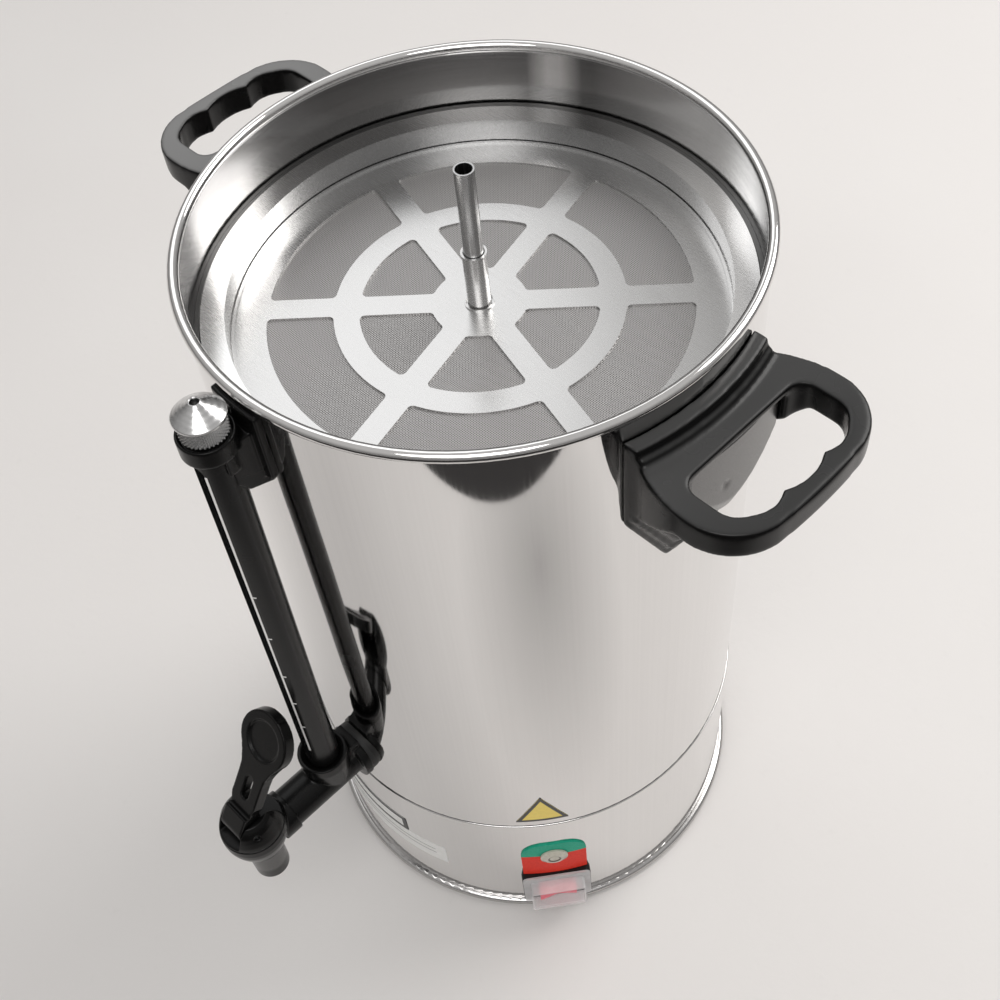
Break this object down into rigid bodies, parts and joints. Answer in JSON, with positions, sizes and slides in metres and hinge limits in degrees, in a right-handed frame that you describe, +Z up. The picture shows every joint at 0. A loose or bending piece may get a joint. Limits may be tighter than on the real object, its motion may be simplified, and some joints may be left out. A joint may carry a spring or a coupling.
{
  "type": "coffee percolator urn",
  "caption": "Round steel electric coffee urn with side handles, level gauge, lever tap, rocker switch and lift-out percolator basket.",
  "frame": {"origin": "on the tank axis, at the surface that the urn stands on", "axes": "+Z up along the tank axis; -Y toward the tap and gauge; +X and -X through the two handles"},
  "size_m": [0.368, 0.3424, 0.467],
  "materials": {
    "mirror_steel": "mirror-polished stainless steel",
    "satin_steel": "satin stainless steel",
    "mesh_steel": "woven wire, dull grey",
    "cap_steel": "turned and knurled, bright",
    "plate_steel": "plain pressed sheet",
    "fastener_steel": "plain screws and pins",
    "black_plastic": "semi-gloss moulded heat-resistant plastic",
    "guard_plastic": "semi-gloss extruded tube with white graduation marks",
    "switch_black": "fine-grained moulded plastic",
    "switch_red": "translucent red moulding",
    "clear_boot": "clear soft plastic",
    "gauge_glass": "clear tube",
    "lamp_clear": "clear moulded lens",
    "foot_rubber": "matt moulded rubber",
    "seal_rubber": "black seal rubber",
    "silicone": "pale food-grade silicone",
    "indicator_film": "printed film, green over red",
    "label_film": "blank pale film",
    "sticker_film": "blank pale film with a dark frame",
    "triangle_film": "plain yellow film with a dark edge",
    "heater_aluminium": "cast, as machined",
    "element_steel": "oxidised sheath",
    "terminal_plastic": "plain moulding",
    "inlet_plastic": "plain moulding",
    "brass": "plain"
  },
  "bodies": {
    "urn": {"tank": "mirror_steel", "tank_floor": "satin_steel", "base_skirt": "mirror_steel", "base_plate": "plate_steel", "foot_1": "foot_rubber", "foot_2": "foot_rubber", "foot_3": "foot_rubber", "foot_4": "foot_rubber", "support_post_1": "fastener_steel", "support_post_2": "fastener_steel", "support_post_3": "fastener_steel", "base_screws": "fastener_steel", "handle_left": "black_plastic", "handle_right": "black_plastic", "handle_screws_left": "fastener_steel", "handle_screws_right": "fastener_steel", "gauge_bracket": "black_plastic", "bracket_screw": "fastener_steel", "gauge_tube": "gauge_glass", "gauge_guard": "guard_plastic", "gauge_seal": "silicone", "tap_tee": "black_plastic", "tap_washer": "seal_rubber", "tap_inner_washer": "silicone", "tap_nut": "fastener_steel", "tap_body": "black_plastic", "tap_nozzle": "satin_steel", "tap_bonnet": "black_plastic", "tap_pin": "fastener_steel", "switch_bezel": "switch_black", "switch_boot": "clear_boot", "switch_pin": "fastener_steel", "switch_housing": "switch_black", "indicator_plate": "indicator_film", "indicator_lens": "lamp_clear", "indicator_lamp": "switch_black", "heater_plate": "heater_aluminium", "heating_element": "element_steel", "thermostat": "plate_steel", "thermal_cutout": "plate_steel", "terminal_block": "terminal_plastic", "power_inlet": "inlet_plastic", "inlet_pins": "brass", "rating_label": "label_film", "side_sticker": "sticker_film", "hot_sticker": "triangle_film"},
    "riser": {"riser_tube": "satin_steel", "riser_collar": "satin_steel", "pump_bell": "satin_steel"},
    "flap": {"pump_valve": "satin_steel"},
    "basket": {"basket": "satin_steel"},
    "cover": {"cover_frame": "satin_steel", "cover_mesh": "mesh_steel"},
    "lever": {"tap_lever": "black_plastic"},
    "stem": {"tap_stem": "fastener_steel", "tap_seat_cup": "silicone"},
    "rocker": {"switch_rocker": "switch_red"},
    "gauge_cap": {"gauge_cap": "cap_steel", "gauge_washer": "seal_rubber"}
  },
  "joints": [
    {"name": "riser_lift", "type": "slide", "parent": "urn", "child": "riser", "axis": [0, 0, 1], "range_m": [0, 0.335]},
    {"name": "flap_lift", "type": "slide", "parent": "riser", "child": "flap", "axis": [0, 0, 1], "range_m": [0, 0.0015]},
    {"name": "basket_lift", "type": "slide", "parent": "riser", "child": "basket", "axis": [0, 0, 1], "range_m": [0, 0.2]},
    {"name": "cover_lift", "type": "slide", "parent": "basket", "child": "cover", "axis": [0, 0, 1], "range_m": [0, 0.085]},
    {"name": "tap_lever_turn", "type": "hinge", "parent": "urn", "child": "lever", "pos_m": [0, -0.201, 0.17], "axis": [1, 0, 0], "range_deg": [0, 35], "stiffness_Nm_per_rad": 0.4, "springref_deg": -17.19},
    {"name": "tap_stem_lift", "type": "slide", "parent": "urn", "child": "stem", "axis": [0, 0, 1], "range_m": [0, 0.003]},
    {"name": "switch_rock", "type": "hinge", "parent": "urn", "child": "rocker", "pos_m": [0.09851, -0.07613, 0.0288], "axis": [0, 0, 1], "range_deg": [-8, 8]},
    {"name": "gauge_cap_lift", "type": "slide", "parent": "urn", "child": "gauge_cap", "axis": [0, 0.0148, 0.9999], "range_m": [0, 0.04]}
  ],
  "couplings": [
    {"joint": "tap_stem_lift", "follows": "tap_lever_turn", "m_per_rad": 0.0049}
  ]
}
